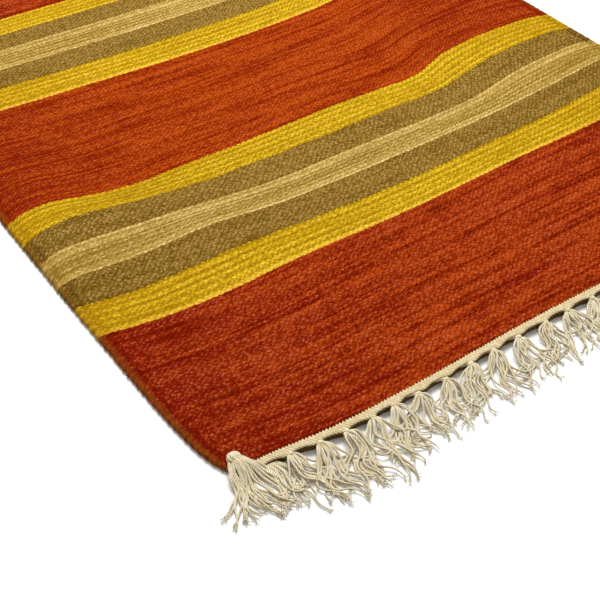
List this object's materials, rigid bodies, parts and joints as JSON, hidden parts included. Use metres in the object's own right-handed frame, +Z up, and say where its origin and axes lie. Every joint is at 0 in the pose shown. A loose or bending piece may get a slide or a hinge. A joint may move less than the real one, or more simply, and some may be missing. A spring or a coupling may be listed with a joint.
{
  "type": "kilim rug",
  "caption": "Small flat-woven wool kilim rug with cross stripes, lying flat, with cotton heading bands and a knotted fringe along each end.",
  "frame": {"origin": "middle of the rug's footprint on the floor, fringes included", "axes": "+X across the rug along the wefts, +Y along the rug along the warps towards the far end, +Z up out of the worn face"},
  "size_m": [0.6038, 0.911, 0.012],
  "materials": {
    "wool_weave": "matt weft-faced wool weave with cross stripes in rust, yellow, olive and tan",
    "cotton_band": "matt undyed cotton, plain woven",
    "cotton_yarn": "matt undyed plied cotton yarn"
  },
  "bodies": {
    "root": {"woven_body": "wool_weave", "end_band_near": "cotton_band", "end_band_far": "cotton_band", "fringe_near": "cotton_yarn", "fringe_far": "cotton_yarn", "corner_tassel": "cotton_yarn"}
  },
  "joints": []
}
